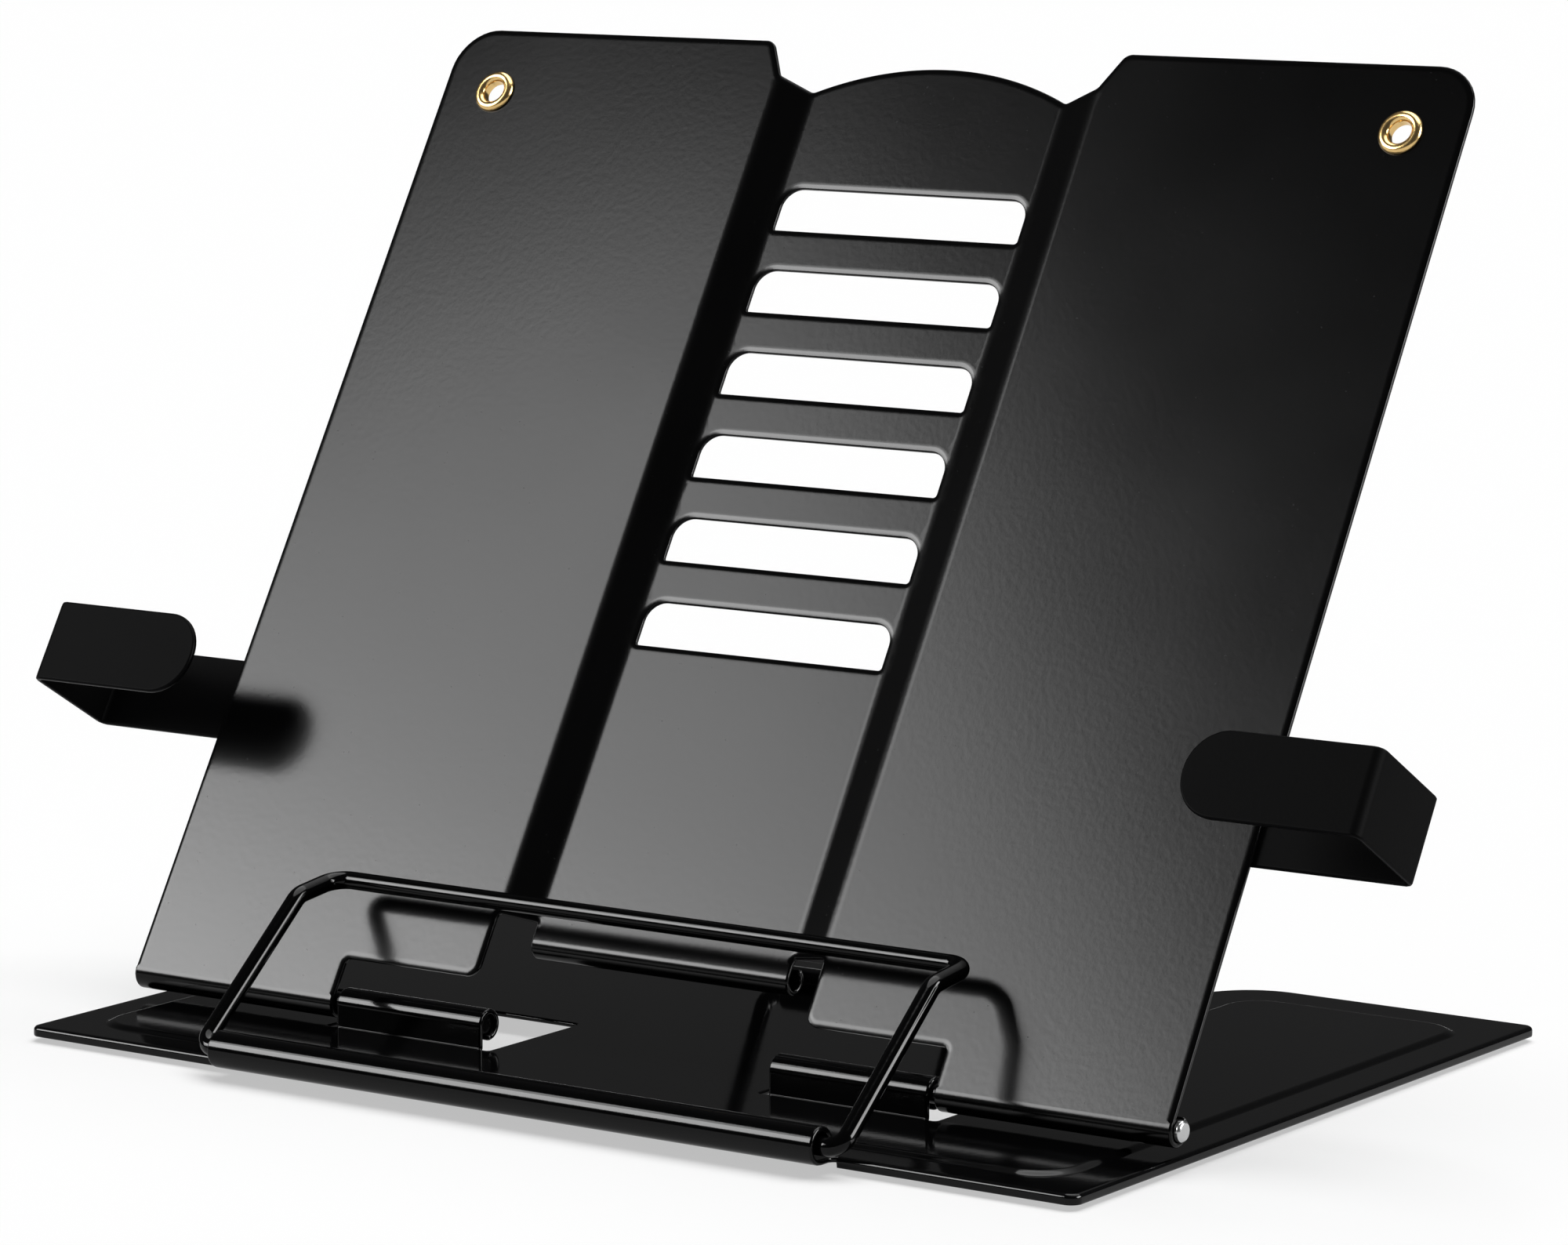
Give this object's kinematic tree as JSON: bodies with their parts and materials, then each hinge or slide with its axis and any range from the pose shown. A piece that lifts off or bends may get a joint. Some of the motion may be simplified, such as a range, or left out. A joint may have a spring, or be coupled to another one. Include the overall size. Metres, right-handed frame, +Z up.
{
  "type": "book stand",
  "caption": "Folding sheet-metal book stand: slotted leaning panel on a stamped base, wire strut behind, turning wire page loop in front, sliding clip at each side.",
  "frame": {"origin": "on the table, under the middle of the stand's overall width and depth", "axes": "+X to the reader's right, along the hinge rods; +Y away from the reader; +Z up"},
  "size_m": [0.2608, 0.1492, 0.1623],
  "materials": {
    "base_paint": "gloss black stoving enamel",
    "panel_paint": "satin-gloss black stoving enamel",
    "wire_paint": "gloss black enamel on wire",
    "clip_paint": "satin black enamel",
    "bright_steel": "bright drawn steel",
    "eyelet_brass": "plain bright brass",
    "foot_rubber": "matt black rubber"
  },
  "bodies": {
    "base": {"base_plate": "base_paint", "left_hinge_rod": "bright_steel", "right_hinge_rod": "bright_steel", "front_left_foot": "foot_rubber", "front_right_foot": "foot_rubber", "rear_left_foot": "foot_rubber", "rear_right_foot": "foot_rubber"},
    "panel": {"back_panel": "panel_paint", "left_clip_guide": "clip_paint", "right_clip_guide": "clip_paint", "left_eyelet": "eyelet_brass", "right_eyelet": "eyelet_brass"},
    "strut": {"support_strut": "wire_paint"},
    "loop": {"page_loop": "wire_paint"},
    "left_clip": {"left_page_clip": "clip_paint"},
    "right_clip": {"right_page_clip": "clip_paint"}
  },
  "joints": [
    {"name": "panel_fold", "type": "hinge", "parent": "base", "child": "panel", "pos_m": [0, -0.03948, 0.0066], "axis": [-1, 0, 0], "range_deg": [0, 54.5]},
    {"name": "strut_fold", "type": "hinge", "parent": "base", "child": "strut", "pos_m": [0, 0.02602, 0.0045], "axis": [-1, 0, 0], "range_deg": [0, 109]},
    {"name": "loop_fold", "type": "hinge", "parent": "base", "child": "loop", "pos_m": [0, -0.07157, 0.00465], "axis": [1, 0, 0], "range_deg": [-5, 142]},
    {"name": "left_clip_slide", "type": "slide", "parent": "panel", "child": "left_clip", "axis": [-1, 0, 0], "range_m": [-0.026, 0.003]},
    {"name": "right_clip_slide", "type": "slide", "parent": "panel", "child": "right_clip", "axis": [1, 0, 0], "range_m": [-0.026, 0.003]}
  ],
  "couplings": [
    {"joint": "strut_fold", "follows": "panel_fold", "ratio": 2}
  ]
}
